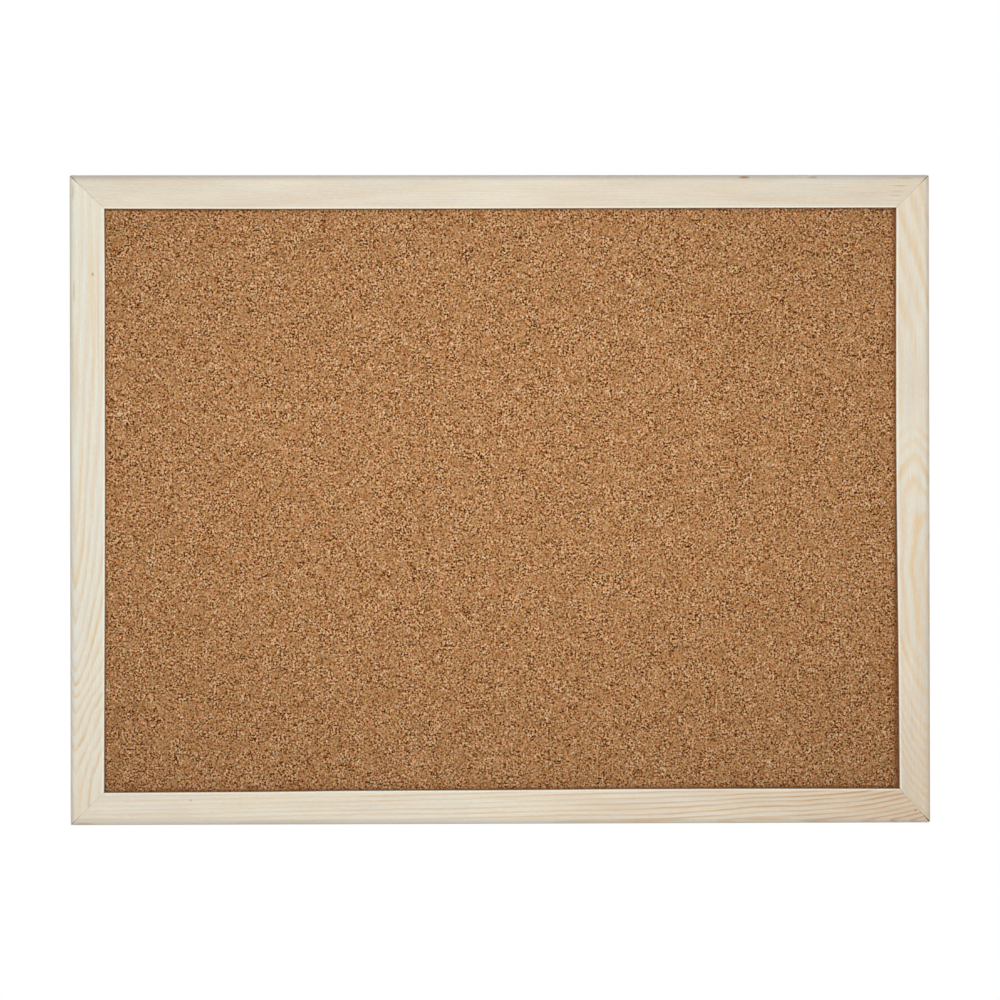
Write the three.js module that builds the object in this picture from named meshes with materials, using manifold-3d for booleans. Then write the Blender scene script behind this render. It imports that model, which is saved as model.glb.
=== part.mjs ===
// A wall-hung cork pin board in a mitred pine frame.
// It stands in the XZ plane: +X is right as seen from the front, +Z is up, and its face looks towards -Y.
// The origin is the centre of the frame's back plane: the wall is at y = 0, and the hangers reach past it.
import * as THREE from "three";
import { mergeVertices } from "three/addons/utils/BufferGeometryUtils.js";
import Module from "manifold-3d";

// Driving dimensions, in millimetres

// Frame moulding: a lip in front of the panel, and a land that is left beside the rebate
const BOARD_WIDTH = 400;
const BOARD_HEIGHT = 302;
const LAND_WIDTH = 10;
const LIP_OVERLAP = 5.8;
const LIP_THICKNESS = 4;
const OUTER_ROUND = 2.8;
const SIGHT_ROUND = 0.6;
const BACK_ROUND = 1;
const MITRE_GAP = 0.2;

// Panel: cork on softboard on hardboard, with a film of glue between the layers
const CORK_THICKNESS = 2;
const CORE_THICKNESS = 4;
const HARDBOARD_THICKNESS = 2.5;
const BACK_RECESS = 2.2;
const GLUE_FILM = 0.1;
const PANEL_CLEARANCE = 0.7;

// V-nails: bent strips that are driven into the mitres from behind until they are flush, one behind the other
const V_NAIL_WING = 4;
const V_NAIL_THICKNESS = 0.5;
const V_NAIL_DEPTH = 7;
const V_NAIL_OUTER_PLACE = 3;
const V_NAIL_PITCH = 3.5;
const V_NAIL_CLEARANCE = 0.25;

// Retaining points: flat steel tongues in the rebate's wall that hold the panel in
const POINT_WIDTH = 6;
const POINT_THICKNESS = 0.5;
const POINT_EMBED = 6;
const POINT_REACH = 8;
const POINT_TAIL_ROUND = 1.2;
const POINT_END_MARGIN = 62;
const POINT_CLEARANCE = 0.25;
const RAIL_POINTS = 3;
const STILE_POINTS = 2;

// Ring hangers: a strap folded round a wire ring, and screwed across the land of each stile
const HANGER_DROP = 100;
const STRAP_WIDTH = 6;
const STRAP_METAL = 0.7;
const STRAP_FOLD_GAP = 0.2;
const STRAP_LENGTH = 8.6;
const STRAP_END_ROUND = 2.2;
const STRAP_INSET = 0.6;
const STRAP_SEAT_GAP = 0.1;
const RING_WIRE = 1.5;
const RING_CLEARANCE = 0.2;
const RING_SIDE_PLAY = 0.5;
const RING_BEND = 1.3;
const RING_LEG = 4.8;
const RING_END_GAP = 0.3;

// Pan-head wood screws of the hangers
const SCREW_PLACE = 4.9;
const SCREW_DIAMETER = 2.6;
const SCREW_LENGTH = 9;
const SCREW_TIP = 2;
const SCREW_PLAIN = 1.6;
const SCREW_HEAD_DIAMETER = 4.6;
const SCREW_HEAD_HEIGHT = 1.6;
const SCREW_SEAT_GAP = 0.1;
const SCREW_CLEARANCE = 0.3;
const THREAD_PITCH = 1.2;
const THREAD_DEPTH = 0.4;
const RECESS_SPAN = 2.6;
const RECESS_SLOT = 0.6;
const RECESS_DEPTH = 0.9;

// Sizes that follow from them
const RAIL_WIDTH = LAND_WIDTH + LIP_OVERLAP;
const PANEL_DEPTH = CORK_THICKNESS + CORE_THICKNESS + HARDBOARD_THICKNESS + 3 * GLUE_FILM;
const REBATE_DEPTH = PANEL_DEPTH + BACK_RECESS;
const FRAME_DEPTH = REBATE_DEPTH + LIP_THICKNESS;
const PANEL_WIDTH = BOARD_WIDTH - 2 * (LAND_WIDTH + PANEL_CLEARANCE);
const PANEL_HEIGHT = BOARD_HEIGHT - 2 * (LAND_WIDTH + PANEL_CLEARANCE);
const MITRE_SETBACK = MITRE_GAP / Math.SQRT2;
const LOOP_INNER = RING_WIRE / 2 + RING_CLEARANCE;
const LOOP_OUTER = LOOP_INNER + STRAP_METAL;
const STRAP_THICKNESS = 2 * STRAP_METAL + STRAP_FOLD_GAP;
const RING_HALF_WIDTH = STRAP_WIDTH / 2 + RING_SIDE_PLAY + RING_WIRE / 2;
const SCREW_HOLE_RADIUS = SCREW_DIAMETER / 2 + SCREW_CLEARANCE;

// Fineness of the facets
const ARC_STEPS = 6;
const LOOP_STEPS = 12;
const WIRE_STEPS = 56;
const WIRE_ARC_STEPS = 5;
const SCREW_SIDES = 14;
const THREAD_ROWS_PER_TURN = 6;
const HOLE_SIDES = 20;
const MERGE_DISTANCE = 1e-4;
const CUT_PAST = 1;

// Finishes
const pine = new THREE.MeshStandardMaterial({ color: 0xe2d7c3, roughness: 0.6, metalness: 0 });
const cork = new THREE.MeshStandardMaterial({ color: 0xa87a52, roughness: 0.95, metalness: 0 });
const softboard = new THREE.MeshStandardMaterial({ color: 0xb79f7c, roughness: 0.95, metalness: 0 });
const hardboard = new THREE.MeshStandardMaterial({ color: 0x6f4c33, roughness: 0.7, metalness: 0 });
const zincPlate = new THREE.MeshStandardMaterial({ color: 0xb9bcc0, roughness: 0.35, metalness: 1 });
const springSteel = new THREE.MeshStandardMaterial({ color: 0x8d9095, roughness: 0.45, metalness: 1 });

const wasm = await Module();
wasm.setup();

// A closed geometry as a solid that can be cut and joined.
function toSolid(geometry) {
  const bare = geometry.clone();
  bare.deleteAttribute("normal");
  bare.deleteAttribute("uv");
  const merged = mergeVertices(bare, MERGE_DISTANCE);
  return new wasm.Manifold(
    new wasm.Mesh({
      numProp: 3,
      vertProperties: merged.attributes.position.array,
      triVerts: new Uint32Array(merged.index.array),
    }),
  );
}

// A solid as a flat-shaded geometry.
function toGeometry(solid) {
  const { vertProperties, triVerts } = solid.getMesh();
  const indexed = new THREE.BufferGeometry();
  indexed.setAttribute("position", new THREE.BufferAttribute(vertProperties, 3));
  indexed.setIndex(new THREE.BufferAttribute(triVerts, 1));
  const geometry = indexed.toNonIndexed();
  geometry.computeVertexNormals();
  return geometry;
}

// A geometry with every cutter taken out of it.
function carve(geometry, cutters) {
  const cut = cutters.reduce((rest, cutter) => rest.subtract(toSolid(cutter)), toSolid(geometry));
  return toGeometry(cut);
}

// An outline in the XZ plane made solid: its rear face is at y = back, and depth runs on towards the front.
function slab(outline, back, depth, curveSegments = ARC_STEPS) {
  const geometry = new THREE.ExtrudeGeometry(outline, { depth, bevelEnabled: false, curveSegments });
  return geometry.rotateX(Math.PI / 2).translate(0, back, 0);
}

function rectangle(width, height) {
  const outline = new THREE.Shape();
  outline.moveTo(-width / 2, -height / 2);
  outline.lineTo(width / 2, -height / 2);
  outline.lineTo(width / 2, height / 2);
  outline.lineTo(-width / 2, height / 2);
  return outline;
}

function piece(name, geometry, material) {
  const mesh = new THREE.Mesh(geometry, material.clone());
  mesh.name = name;
  return mesh;
}

// Frame rails
// A rail's own frame has x along it and y = 0 at the wall.
// Its z = 0 is the frame's outer edge, with the board towards -z.

// The moulding's section: u runs in from the outer edge, and v runs forward from the wall.
function mouldingSection() {
  const section = new THREE.Shape();
  section.moveTo(BACK_ROUND, 0);
  section.lineTo(LAND_WIDTH, 0);
  section.lineTo(LAND_WIDTH, REBATE_DEPTH);
  section.lineTo(RAIL_WIDTH, REBATE_DEPTH);
  section.lineTo(RAIL_WIDTH, FRAME_DEPTH - SIGHT_ROUND);
  section.absarc(RAIL_WIDTH - SIGHT_ROUND, FRAME_DEPTH - SIGHT_ROUND, SIGHT_ROUND, 0, Math.PI / 2);
  section.lineTo(OUTER_ROUND, FRAME_DEPTH);
  section.absarc(OUTER_ROUND, FRAME_DEPTH - OUTER_ROUND, OUTER_ROUND, Math.PI / 2, Math.PI);
  section.lineTo(0, BACK_ROUND);
  section.absarc(BACK_ROUND, BACK_ROUND, BACK_ROUND, Math.PI, 1.5 * Math.PI);
  return section;
}

// The section carried along a rail, where each end leans in at 45 degrees and stops half a glue line short.
function mitredMoulding(length) {
  const stick = new THREE.ExtrudeGeometry(mouldingSection(), {
    depth: 1,
    bevelEnabled: false,
    curveSegments: ARC_STEPS,
  });
  const place = stick.getAttribute("position");
  for (let i = 0; i < place.count; i += 1) {
    const u = place.getX(i);
    const v = place.getY(i);
    const end = 1 - 2 * place.getZ(i);
    place.setXYZ(i, end * (length / 2 - u - MITRE_SETBACK), -v, -u);
  }
  return stick;
}

// One V-nail in a corner's frame: the outer corner is at the origin, and the frame runs off along +X and -Z.
// Its apex is on the mitre and its wings lie along the two rails. Grow widens it all round, for its slot.
function vNailOutline(place, grow) {
  const half = V_NAIL_THICKNESS / 2 + grow;
  const tip = place + V_NAIL_WING + grow;
  const outline = new THREE.Shape();
  outline.moveTo(place - half, half - place);
  outline.lineTo(tip, half - place);
  outline.lineTo(tip, -half - place);
  outline.lineTo(place + half, -half - place);
  outline.lineTo(place + half, -tip);
  outline.lineTo(place - half, -tip);
  return outline;
}

const vNailPlaces = { outer: V_NAIL_OUTER_PLACE, inner: V_NAIL_OUTER_PLACE + V_NAIL_PITCH };

// The slots of the V-nails at both ends of a rail.
function vNailSlots(length) {
  return Object.values(vNailPlaces).flatMap((place) => {
    const outline = vNailOutline(place, V_NAIL_CLEARANCE);
    const depth = V_NAIL_DEPTH + V_NAIL_CLEARANCE + CUT_PAST;
    const slot = () => slab(outline, CUT_PAST, depth);
    return [slot().translate(-length / 2, 0, 0), slot().rotateY(Math.PI / 2).translate(length / 2, 0, 0)];
  });
}

// Where a rail's retaining points sit along it: an equal spacing between two end margins.
function pointPlaces(length, count) {
  const span = length - 2 * POINT_END_MARGIN;
  return Array.from({ length: count }, (_, i) => (count > 1 ? i / (count - 1) - 0.5 : 0) * span);
}

// A retaining point: an arrow head in the rebate's wall, and a round-cornered tail that lies over the panel.
function pointOutline(grow) {
  const half = POINT_WIDTH / 2 + grow;
  const round = POINT_TAIL_ROUND;
  const tip = POINT_EMBED + grow - LAND_WIDTH;
  const tail = -POINT_REACH - LAND_WIDTH;
  const outline = new THREE.Shape();
  outline.moveTo(0, tip);
  outline.lineTo(-half, tip - half);
  outline.lineTo(-half, tail + round);
  outline.absarc(round - half, tail + round, round, Math.PI, 1.5 * Math.PI);
  outline.lineTo(half - round, tail);
  outline.absarc(half - round, tail + round, round, 1.5 * Math.PI, 2 * Math.PI);
  outline.lineTo(half, tip - half);
  return outline;
}

const pointBack = -BACK_RECESS + GLUE_FILM + POINT_THICKNESS;

function pointSlot(place) {
  const depth = POINT_THICKNESS + 2 * POINT_CLEARANCE;
  return slab(pointOutline(POINT_CLEARANCE), pointBack + POINT_CLEARANCE, depth).translate(place, 0, 0);
}

// The hanger's place on the land of a stile, measured to its hinge line.
const hangerSeat = -(LAND_WIDTH - STRAP_INSET);

// A round hole for the screw's shank, about y.
function shankHole(bottom, top) {
  const hole = new THREE.CylinderGeometry(SCREW_HOLE_RADIUS, SCREW_HOLE_RADIUS, top - bottom, HOLE_SIDES);
  return hole.translate(0, (top + bottom) / 2, 0);
}

function pilotHole(place) {
  const bottom = STRAP_SEAT_GAP + STRAP_THICKNESS + SCREW_SEAT_GAP - SCREW_LENGTH - SCREW_CLEARANCE;
  return shankHole(bottom, CUT_PAST).translate(place, 0, hangerSeat + SCREW_PLACE);
}

// A rail with its retaining points, and with pilot holes where a hanger is screwed on.
function railGroup(name, side, length, points, pilots) {
  const group = new THREE.Group();
  const places = pointPlaces(length, points);
  const cutters = [...vNailSlots(length), ...places.map(pointSlot), ...pilots.map(pilotHole)];
  group.add(piece(name, carve(mitredMoulding(length), cutters), pine));
  places.forEach((place, i) => {
    const tongue = slab(pointOutline(0), pointBack, POINT_THICKNESS);
    const point = piece(`${side}_retaining_point_${i + 1}`, tongue, springSteel);
    point.position.x = place;
    group.add(point);
  });
  return group;
}

// Panel layers

// Each layer fills the rebate but for a clearance all round, and front is where its face lies behind the lip.
function panelLayer(name, front, thickness, material) {
  const y = front - FRAME_DEPTH + LIP_THICKNESS + thickness;
  return piece(name, slab(rectangle(PANEL_WIDTH, PANEL_HEIGHT), y, thickness), material);
}

// Ring hangers
// A hanger's own frame has x along the hinge, y out from the wood, and z from the hinge to the outer edge.

// The strap from its side: a strip that lies on the wood, turns round the wire and comes back on itself.
function strapProfile() {
  const foldOuter = STRAP_THICKNESS;
  const foldInner = STRAP_METAL + STRAP_FOLD_GAP;
  const outerAngle = Math.acos((foldOuter - LOOP_OUTER) / LOOP_OUTER);
  const innerAngle = Math.acos((foldInner - LOOP_OUTER) / LOOP_INNER);
  const strip = new THREE.Shape();
  strip.moveTo(STRAP_LENGTH, 0);
  strip.lineTo(0, 0);
  strip.absarc(0, LOOP_OUTER, LOOP_OUTER, -Math.PI / 2, Math.PI / 2 - outerAngle, true);
  strip.lineTo(STRAP_LENGTH, foldOuter);
  strip.lineTo(STRAP_LENGTH, foldInner);
  strip.absarc(0, LOOP_OUTER, LOOP_INNER, Math.PI / 2 - innerAngle, -Math.PI / 2, false);
  strip.lineTo(STRAP_LENGTH, STRAP_METAL);
  return strip;
}

// The strap from behind: round corners at its free end.
function strapPlan() {
  const half = STRAP_WIDTH / 2;
  const round = STRAP_END_ROUND;
  const plan = new THREE.Shape();
  plan.moveTo(-half, -LOOP_OUTER - CUT_PAST);
  plan.lineTo(half, -LOOP_OUTER - CUT_PAST);
  plan.lineTo(half, STRAP_LENGTH - round);
  plan.absarc(half - round, STRAP_LENGTH - round, round, 0, Math.PI / 2);
  plan.absarc(round - half, STRAP_LENGTH - round, round, Math.PI / 2, Math.PI);
  return plan;
}

function strapGeometry() {
  const folded = new THREE.ExtrudeGeometry(strapProfile(), {
    depth: STRAP_WIDTH,
    bevelEnabled: false,
    curveSegments: LOOP_STEPS,
  });
  folded.rotateY(-Math.PI / 2).translate(STRAP_WIDTH / 2, 0, 0);
  const top = 2 * LOOP_OUTER + CUT_PAST;
  const plan = slab(strapPlan(), top, top + CUT_PAST);
  const hole = shankHole(-CUT_PAST, top).translate(0, 0, SCREW_PLACE);
  return toGeometry(toSolid(folded).intersect(toSolid(plan)).subtract(toSolid(hole)));
}

// The ring's wire line. Its straight bar lies in the strap, where its two ends nearly meet,
// and its bow points inwards.
class RingLine extends THREE.Curve {
  constructor() {
    super();
    const half = RING_HALF_WIDTH;
    this.line = new THREE.Path();
    this.line.moveTo(RING_END_GAP / 2, 0);
    this.line.lineTo(half - RING_BEND, 0);
    this.line.absarc(half - RING_BEND, -RING_BEND, RING_BEND, Math.PI / 2, 0, true);
    this.line.lineTo(half, -RING_LEG);
    this.line.absarc(0, -RING_LEG, half, 0, -Math.PI, true);
    this.line.lineTo(-half, -RING_BEND);
    this.line.absarc(RING_BEND - half, -RING_BEND, RING_BEND, Math.PI, Math.PI / 2, true);
    this.line.lineTo(-RING_END_GAP / 2, 0);
  }

  getPoint(t, target = new THREE.Vector3()) {
    const { x, y } = this.line.getPoint(t);
    return target.set(x, 0, y);
  }
}

function ringGeometry() {
  const wire = new THREE.Shape().absarc(0, 0, RING_WIRE / 2, 0, 2 * Math.PI);
  return new THREE.ExtrudeGeometry(wire, {
    steps: WIRE_STEPS,
    curveSegments: WIRE_ARC_STEPS,
    extrudePath: new RingLine(),
  });
}

// A pan-head screw turned about y, with its head upwards from y = 0.
// Its thread is a ridge that climbs one pitch a turn and fades out at both ends.
function screwGeometry() {
  const coreRadius = SCREW_DIAMETER / 2 - THREAD_DEPTH;
  const headRadius = SCREW_HEAD_DIAMETER / 2;
  const threadBottom = SCREW_TIP - SCREW_LENGTH;
  const threadLength = -SCREW_PLAIN - threadBottom;
  const rows = Math.round((threadLength / THREAD_PITCH) * THREAD_ROWS_PER_TURN);
  const profile = [new THREE.Vector2(0, -SCREW_LENGTH)];
  for (let i = 0; i <= rows; i += 1) {
    profile.push(new THREE.Vector2(coreRadius, threadBottom + (i / rows) * threadLength));
  }
  profile.push(new THREE.Vector2(coreRadius, 0));
  for (let i = 0; i < ARC_STEPS; i += 1) {
    const turn = ((i / ARC_STEPS) * Math.PI) / 2;
    profile.push(new THREE.Vector2(headRadius * Math.cos(turn), SCREW_HEAD_HEIGHT * Math.sin(turn)));
  }
  profile.push(new THREE.Vector2(0, SCREW_HEAD_HEIGHT));
  const screw = new THREE.LatheGeometry(profile, SCREW_SIDES);
  const place = screw.getAttribute("position");
  for (let i = 0; i < place.count; i += 1) {
    const along = place.getY(i);
    const share = (along - threadBottom) / threadLength;
    if (share < 0 || share > 1) continue;
    const turns = along / THREAD_PITCH + Math.atan2(place.getZ(i), place.getX(i)) / (2 * Math.PI);
    const ridge = 1 - 2 * Math.abs(turns - Math.round(turns));
    const fade = Math.sin(Math.PI * share);
    const swell = 1 + (THREAD_DEPTH / coreRadius) * ridge * fade;
    place.setX(i, place.getX(i) * swell);
    place.setZ(i, place.getZ(i) * swell);
  }
  const slot = (span, width) =>
    new THREE.BoxGeometry(span, 2 * RECESS_DEPTH, width).translate(0, SCREW_HEAD_HEIGHT, 0);
  return carve(screw, [slot(RECESS_SPAN, RECESS_SLOT), slot(RECESS_SLOT, RECESS_SPAN)]);
}

function hangerGroup(side, place) {
  const group = new THREE.Group();
  group.position.set(place, STRAP_SEAT_GAP, hangerSeat);
  group.add(piece(`${side}_hanger_strap`, strapGeometry(), zincPlate));
  const ring = piece(`${side}_hanger_ring`, ringGeometry(), zincPlate);
  ring.position.y = LOOP_OUTER;
  group.add(ring);
  const screw = piece(`${side}_hanger_screw`, screwGeometry(), zincPlate);
  screw.position.set(0, STRAP_THICKNESS + SCREW_SEAT_GAP, SCREW_PLACE);
  group.add(screw);
  return group;
}

// Assembly

const board = new THREE.Group();

const topRail = railGroup("top_rail", "top", BOARD_WIDTH, RAIL_POINTS, []);
topRail.position.z = BOARD_HEIGHT / 2;
board.add(topRail);

const bottomRail = railGroup("bottom_rail", "bottom", BOARD_WIDTH, RAIL_POINTS, []);
bottomRail.position.z = -BOARD_HEIGHT / 2;
bottomRail.rotation.y = Math.PI;
board.add(bottomRail);

// The left stile's x runs up and the right stile's x runs down,
// so the hangers' places along them differ in sign.
const hangerHeight = BOARD_HEIGHT / 2 - HANGER_DROP;
for (const [side, up] of [["left", 1], ["right", -1]]) {
  const place = up * hangerHeight;
  const stile = railGroup(`${side}_stile`, side, BOARD_HEIGHT, STILE_POINTS, [place]);
  stile.add(hangerGroup(side, place));
  stile.position.x = (-up * BOARD_WIDTH) / 2;
  stile.rotation.y = (-up * Math.PI) / 2;
  board.add(stile);
}

const coreFront = GLUE_FILM + CORK_THICKNESS + GLUE_FILM;
const hardboardFront = coreFront + CORE_THICKNESS + GLUE_FILM;
board.add(panelLayer("cork_sheet", GLUE_FILM, CORK_THICKNESS, cork));
board.add(panelLayer("softboard_core", coreFront, CORE_THICKNESS, softboard));
board.add(panelLayer("hardboard_back", hardboardFront, HARDBOARD_THICKNESS, hardboard));

// Each corner's frame is the top left one's, turned by quarter turns.
const corners = [
  ["top_left", -1, 1],
  ["top_right", 1, 1],
  ["bottom_right", 1, -1],
  ["bottom_left", -1, -1],
];
corners.forEach(([corner, right, up], quarter) => {
  const group = new THREE.Group();
  group.position.set((right * BOARD_WIDTH) / 2, 0, (up * BOARD_HEIGHT) / 2);
  group.rotation.y = (quarter * Math.PI) / 2;
  for (const [row, place] of Object.entries(vNailPlaces)) {
    const nail = slab(vNailOutline(place, 0), 0, V_NAIL_DEPTH);
    group.add(piece(`v_nail_${corner}_${row}`, nail, springSteel));
  }
  board.add(group);
});

export default board;
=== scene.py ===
import math

import bpy
import numpy as np
from mathutils import Matrix, Vector


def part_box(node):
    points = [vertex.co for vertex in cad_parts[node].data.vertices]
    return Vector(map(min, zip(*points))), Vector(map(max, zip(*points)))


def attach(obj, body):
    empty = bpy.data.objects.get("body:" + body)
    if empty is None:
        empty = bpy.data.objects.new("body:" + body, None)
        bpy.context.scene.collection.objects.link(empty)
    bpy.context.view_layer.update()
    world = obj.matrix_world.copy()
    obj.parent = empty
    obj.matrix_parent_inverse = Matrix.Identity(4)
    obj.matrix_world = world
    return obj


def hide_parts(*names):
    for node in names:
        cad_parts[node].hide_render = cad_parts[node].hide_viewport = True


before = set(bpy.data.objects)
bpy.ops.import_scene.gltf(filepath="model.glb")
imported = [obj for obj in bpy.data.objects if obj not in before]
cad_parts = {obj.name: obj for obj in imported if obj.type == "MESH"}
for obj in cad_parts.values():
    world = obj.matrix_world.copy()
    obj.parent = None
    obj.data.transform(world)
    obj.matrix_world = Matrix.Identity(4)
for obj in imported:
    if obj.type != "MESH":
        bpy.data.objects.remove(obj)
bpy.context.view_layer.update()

# The frame: two rails and two stiles of planed, unfinished pine, L-shaped in section so that a thin lip
# overlaps the panel. Their ends are mitred, glued and nailed from behind. The joints stand a little open
# at their outer tips, and each length has its own growth lines and a sight edge that isn't quite true.
MM = 0.001
BOARD_WIDTH = 400
BOARD_HEIGHT = 302
FRAME_DEPTH = 15
LAND_WIDTH = 10
LIP_BACK = 11
FACE_WIDTH = 15.8
OUTER_ROUND = 2.8
SIGHT_ROUND = 0.4
BACK_ROUND = 1
LAND_SINK = 0.04
STATION_PITCH = 1.25
JOINT_GAP = 0.015
JOINT_EASE = 0.08
FACE_WAVE = 0.03
FACE_MIDDLE = 7.5
ARCH_MIDDLE = 4.9
KEY_STEP = 1000
TOP_KEY, BOTTOM_KEY, LEFT_KEY, RIGHT_KEY = 1, 2, 3, 4


class Wire:
    """A socket of a node tree. Expressions of Wires and numbers add the Math nodes that work them out."""

    def __init__(self, tree, socket=None):
        self.tree = tree
        self.socket = socket

    def node(self, kind, settings=None, values=None, out=0):
        """Adds any node: its settings are set first, then its sockets get values or links."""
        made = self.tree.nodes.new("ShaderNode" + kind)
        for key, setting in (settings or {}).items():
            if key == "stops":
                ramp = made.color_ramp.elements
                while len(ramp) < len(setting):
                    ramp.new(0.5)
                for stop, (place, colour) in zip(ramp, setting):
                    stop.position = place
                    stop.color = (*colour, 1)
            else:
                setattr(made, key, setting)
        for key, value in (values or {}).items():
            if isinstance(value, Wire):
                self.tree.links.new(value.socket, made.inputs[key])
            else:
                made.inputs[key].default_value = value
        return Wire(self.tree, made.outputs[out])

    def other(self, out):
        """Another output of the node that this one comes from."""
        return Wire(self.tree, self.socket.node.outputs[out])

    def math(self, operation, *values):
        return self.node("Math", {"operation": operation}, dict(enumerate(values)))

    def __add__(self, value):
        return self.math("ADD", self, value)

    def __radd__(self, value):
        return self.math("ADD", value, self)

    def __sub__(self, value):
        return self.math("SUBTRACT", self, value)

    def __rsub__(self, value):
        return self.math("SUBTRACT", value, self)

    def __mul__(self, value):
        return self.math("MULTIPLY", self, value)

    def __rmul__(self, value):
        return self.math("MULTIPLY", value, self)

    def step(self, low, high):
        """0 below low, 1 above high, an S-curve between."""
        span = {"Value": self, "From Min": low, "From Max": high}
        return self.node("MapRange", {"interpolation_type": "SMOOTHSTEP"}, span)

    def mix(self, first, second):
        """The first colour where this is 0, the second where it is 1."""
        return self.node("Mix", {"data_type": "RGBA"}, {0: self, 6: first, 7: second}, 2)

    def tint(self, colour):
        """This colour multiplied by another."""
        settings = {"data_type": "RGBA", "blend_type": "MULTIPLY"}
        return self.node("Mix", settings, {0: 1.0, 6: self, 7: colour}, 2)

    def above(self, level):
        """By how much this is above a level, or 0."""
        return self.math("MAXIMUM", self - level, 0)

    def stretch(self, x, y, z):
        """This vector with its three parts scaled."""
        return self.node("VectorMath", {"operation": "MULTIPLY"}, {0: self, 1: (x, y, z)})

    def noise(self, scale, detail=2, roughness=0.5):
        """Soft noise at this vector, 0 to 1 and 0.5 on average."""
        sockets = {"Vector": self, "Scale": scale, "Detail": detail, "Roughness": roughness}
        return self.node("TexNoise", {}, sockets)


def new_finish(name):
    """An empty material: its tree as a Wire, and its surface shader's node."""
    material = bpy.data.materials.new(name)
    material.use_nodes = True
    surface = material.node_tree.nodes["Principled BSDF"]
    return material, Wire(material.node_tree), surface


def feed(tree, surface, **sockets):
    """Links Wires to the sockets of a surface shader, or sets them to plain values."""
    for name, value in sockets.items():
        socket = surface.inputs[name.replace("_", " ")]
        if isinstance(value, Wire):
            tree.tree.links.new(value.socket, socket)
        else:
            socket.default_value = value


def make_piece(name, points, faces, material, body, node, slot, crease=40, **marks):
    """Points in mm and faces become a shaded mesh that rides on a body and stands for a CAD node.

    If the volume that the faces enclose, a sixth of the sum of a . (b x c) over their fans of triangles,
    comes out negative, the faces are turned round. Marks are kept as attributes of the points.
    """
    turns = [(face, k) for face in faces for k in range(1, face.shape[1] - 1)]
    fans = [np.stack([face[:, 0], face[:, k], face[:, k + 1]], 1) for face, k in turns]
    a, b, c = (points[np.concatenate(fans)[:, k]] for k in range(3))
    turned = np.sum(a * np.cross(b, c)) < 0
    mesh = bpy.data.meshes.new(name)
    rows = [row for face in faces for row in (face[:, ::-1] if turned else face).tolist()]
    mesh.from_pydata((points * MM).tolist(), [], rows)
    mesh.polygons.foreach_set("use_smooth", np.ones(len(rows), dtype=bool))
    mesh.set_sharp_from_angle(angle=math.radians(crease))
    for mark, values in marks.items():
        if values.ndim == 2:
            layer = mesh.attributes.new(mark, "FLOAT_VECTOR", "POINT")
            layer.data.foreach_set("vector", values.astype(np.float32).ravel())
        else:
            layer = mesh.attributes.new(mark, "FLOAT", "POINT")
            layer.data.foreach_set("value", values.astype(np.float32))
    mesh.materials.append(material)
    piece = bpy.data.objects.new(name, mesh)
    bpy.context.scene.collection.objects.link(piece)
    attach(piece, body)
    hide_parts(node)
    return piece


def skin_faces(stations, around):
    """Faces of a closed tube: quads between neighbouring rings, and a fan to one more point at each end."""
    i, j = np.meshgrid(np.arange(stations - 1), np.arange(around), indexing="ij")
    i, j = i.ravel(), j.ravel()
    after = (j + 1) % around
    ring, next_ring = i * around, (i + 1) * around
    quads = np.stack([ring + j, ring + after, next_ring + after, next_ring + j], 1)
    j = np.arange(around)
    after = (j + 1) % around
    first = np.full(around, stations * around)
    last = (stations - 1) * around
    fans = [np.stack([after, j, first], 1), np.stack([last + j, last + after, first + 1], 1)]
    return [quads, np.concatenate(fans)]


def line(start, stop, count):
    """Evenly spaced points on a straight line, the last one left out."""
    share = np.linspace(0, 1, count, endpoint=False)[:, None]
    return np.array(start) + share * (np.array(stop) - np.array(start))


def arc(centre, radius, start, stop, count):
    """Points on a circle between two angles in degrees, the last one left out."""
    turn = np.radians(np.linspace(start, stop, count, endpoint=False))
    return np.array(centre) + radius * np.stack([np.cos(turn), np.sin(turn)], 1)


def moulding_section():
    """The moulding's outline: distance in from the outer edge, and distance forward from the wall, in mm.

    It goes up the outer side, round the soft outer edge, across the face, over the sight edge, down the
    lip, along the rebate and its wall, and back across the land that lies against the wall.
    """
    front, face, land, ease = FRAME_DEPTH, FACE_WIDTH, LAND_WIDTH, 0.3
    return np.concatenate([
        line((0, BACK_ROUND + LAND_SINK), (0, front - OUTER_ROUND), 10),
        arc((OUTER_ROUND, front - OUTER_ROUND), OUTER_ROUND, 180, 90, 14),
        line((OUTER_ROUND, front), (face - SIGHT_ROUND, front), 26),
        arc((face - SIGHT_ROUND, front - SIGHT_ROUND), SIGHT_ROUND, 90, 0, 7),
        line((face, front - SIGHT_ROUND), (face, LIP_BACK), 6),
        line((face, LIP_BACK), (land, LIP_BACK), 6),
        line((land, LIP_BACK), (land, ease + LAND_SINK), 10),
        arc((land - ease, ease + LAND_SINK), ease, 0, -90, 3),
        line((land - ease, LAND_SINK), (BACK_ROUND, LAND_SINK), 10),
        arc((BACK_ROUND, BACK_ROUND + LAND_SINK), BACK_ROUND, 270, 180, 5),
    ])


def stations_along(length, pitch):
    """Shares of a length at an even pitch, with closer ones by both ends for the mitred edges."""
    close = np.array([0, 0.12, 0.3, 0.6, 1.1]) / length
    even = np.linspace(1.8 / length, 1 - 1.8 / length, round(length / pitch))
    return np.concatenate([close, even, 1 - close[::-1]])


def table(along, pairs):
    """A value that runs straight from one (place, value) pair to the next."""
    places, values = zip(*pairs)
    return np.interp(along, places, values)


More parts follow.
